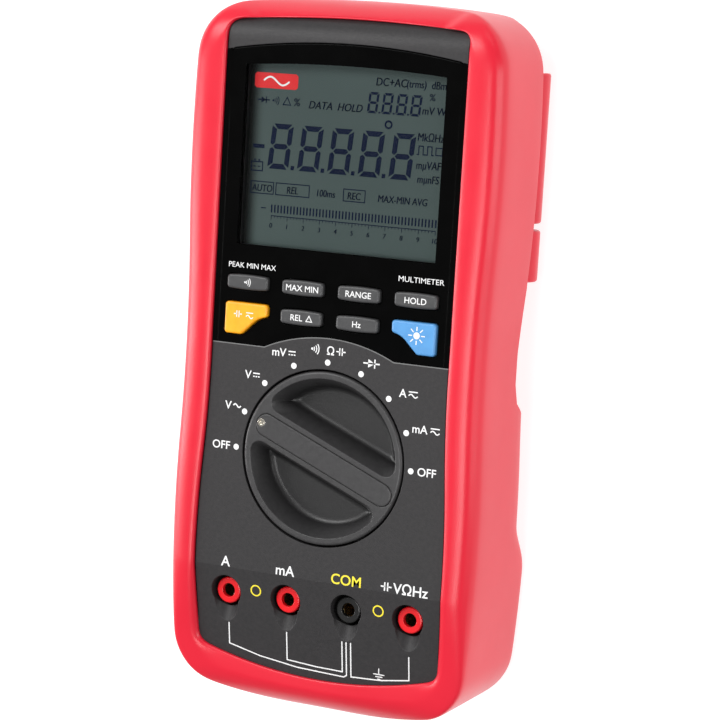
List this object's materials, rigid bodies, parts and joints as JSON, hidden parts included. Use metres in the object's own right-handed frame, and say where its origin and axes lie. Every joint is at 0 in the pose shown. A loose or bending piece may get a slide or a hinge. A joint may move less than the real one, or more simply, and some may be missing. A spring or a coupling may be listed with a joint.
{
  "type": "handheld digital multimeter",
  "caption": "Handheld digital multimeter in a rubber boot, with LCD, push keys, rotary function selector, 4 mm input sockets, probe clips and a tilt stand.",
  "frame": {"origin": "centre of the flat back of the boot, on the surface that the meter lies on", "axes": "+Z out of the face, +Y towards the display, +X to the right of a reader"},
  "size_m": [0.096, 0.202, 0.043],
  "materials": {
    "boot_rubber": "soft satin",
    "case_plastic": "fine spark texture",
    "silicone": "matt",
    "steel": "plated",
    "lens": "gloss with black border",
    "black_plastic": "matt",
    "lcd_glass": "semi gloss",
    "light_guide": "clear gloss",
    "key_grey": "satin",
    "key_yellow": "satin",
    "key_blue": "satin",
    "knob_plastic": "satin",
    "polished_metal": "polished",
    "white_plastic": "natural",
    "brass": "bright",
    "socket_red": "gloss",
    "socket_black": "gloss",
    "circuit_board": "solder resist",
    "chip_plastic": "matt",
    "can_aluminium": "sleeved",
    "ceramic": "ceramic",
    "varistor_blue": "dipped",
    "battery_jacket": "printed jacket, plain",
    "lead_red": "insulation"
  },
  "bodies": {
    "meter": {"backlight_panel": "light_guide", "battery": "battery_jacket", "battery_door": "case_plastic", "battery_door_screw": "steel", "battery_lead_black": "black_plastic", "battery_lead_red": "lead_red", "battery_snap": "black_plastic", "board_screws": "steel", "case_gasket": "silicone", "case_screws": "steel", "controller_chip": "chip_plastic", "crystal": "steel", "current_shunt": "brass", "data_port_lens": "black_plastic", "detent_ring": "white_plastic", "display_lens": "lens", "divider_network": "ceramic", "electrolytic_capacitors": "can_aluminium", "front_case": "case_plastic", "fuse_clips": "brass", "high_current_fuse": "ceramic", "holster": "boot_rubber", "infrared_leds": "light_guide", "keypad_mat": "silicone", "lcd_frame": "black_plastic", "lcd_panel": "lcd_glass", "low_current_fuse": "ceramic", "main_board": "circuit_board", "measuring_chip": "chip_plastic", "piezo_sounder": "black_plastic", "probe_clips": "boot_rubber", "rear_case": "case_plastic", "shield_plate": "steel", "socket_block": "black_plastic", "socket_ring_black": "socket_black", "socket_rings_red": "socket_red", "socket_sleeves": "brass", "stand_pins": "steel", "varistors": "varistor_blue", "zebra_strips": "silicone"},
    "selector": {"selector_knob": "knob_plastic", "knob_inlay": "knob_plastic", "pointer_pin": "polished_metal", "selector_rotor": "white_plastic", "detent_balls": "steel", "detent_springs": "steel", "wiper_springs": "brass", "knob_screw": "steel"},
    "key_backlight": {"key_backlight": "key_blue"},
    "key_buzzer": {"key_buzzer": "key_grey"},
    "key_hertz": {"key_hertz": "key_grey"},
    "key_hold": {"key_hold": "key_grey"},
    "key_max_min": {"key_max_min": "key_grey"},
    "key_range": {"key_range": "key_grey"},
    "key_relative": {"key_relative": "key_grey"},
    "key_select": {"key_select": "key_yellow"},
    "stand": {"tilt_stand": "case_plastic"}
  },
  "joints": [
    {"name": "selector_turn", "type": "hinge", "parent": "meter", "child": "selector", "pos_m": [0, -0.0265, 0.0413], "axis": [0, 0, 1], "range_deg": [-157.5, 22.5]},
    {"name": "key_backlight_press", "type": "slide", "parent": "meter", "child": "key_backlight", "axis": [0, 0, -1], "range_m": [0, 0.001], "stiffness_N_per_m": 1200},
    {"name": "key_buzzer_press", "type": "slide", "parent": "meter", "child": "key_buzzer", "axis": [0, 0, -1], "range_m": [0, 0.001], "stiffness_N_per_m": 1200},
    {"name": "key_hertz_press", "type": "slide", "parent": "meter", "child": "key_hertz", "axis": [0, 0, -1], "range_m": [0, 0.001], "stiffness_N_per_m": 1200},
    {"name": "key_hold_press", "type": "slide", "parent": "meter", "child": "key_hold", "axis": [0, 0, -1], "range_m": [0, 0.001], "stiffness_N_per_m": 1200},
    {"name": "key_max_min_press", "type": "slide", "parent": "meter", "child": "key_max_min", "axis": [0, 0, -1], "range_m": [0, 0.001], "stiffness_N_per_m": 1200},
    {"name": "key_range_press", "type": "slide", "parent": "meter", "child": "key_range", "axis": [0, 0, -1], "range_m": [0, 0.001], "stiffness_N_per_m": 1200},
    {"name": "key_relative_press", "type": "slide", "parent": "meter", "child": "key_relative", "axis": [0, 0, -1], "range_m": [0, 0.001], "stiffness_N_per_m": 1200},
    {"name": "key_select_press", "type": "slide", "parent": "meter", "child": "key_select", "axis": [0, 0, -1], "range_m": [0, 0.001], "stiffness_N_per_m": 1200},
    {"name": "stand_swing", "type": "hinge", "parent": "meter", "child": "stand", "pos_m": [0, 0.03, 0.005], "axis": [1, 0, 0], "range_deg": [0, 70]}
  ]
}
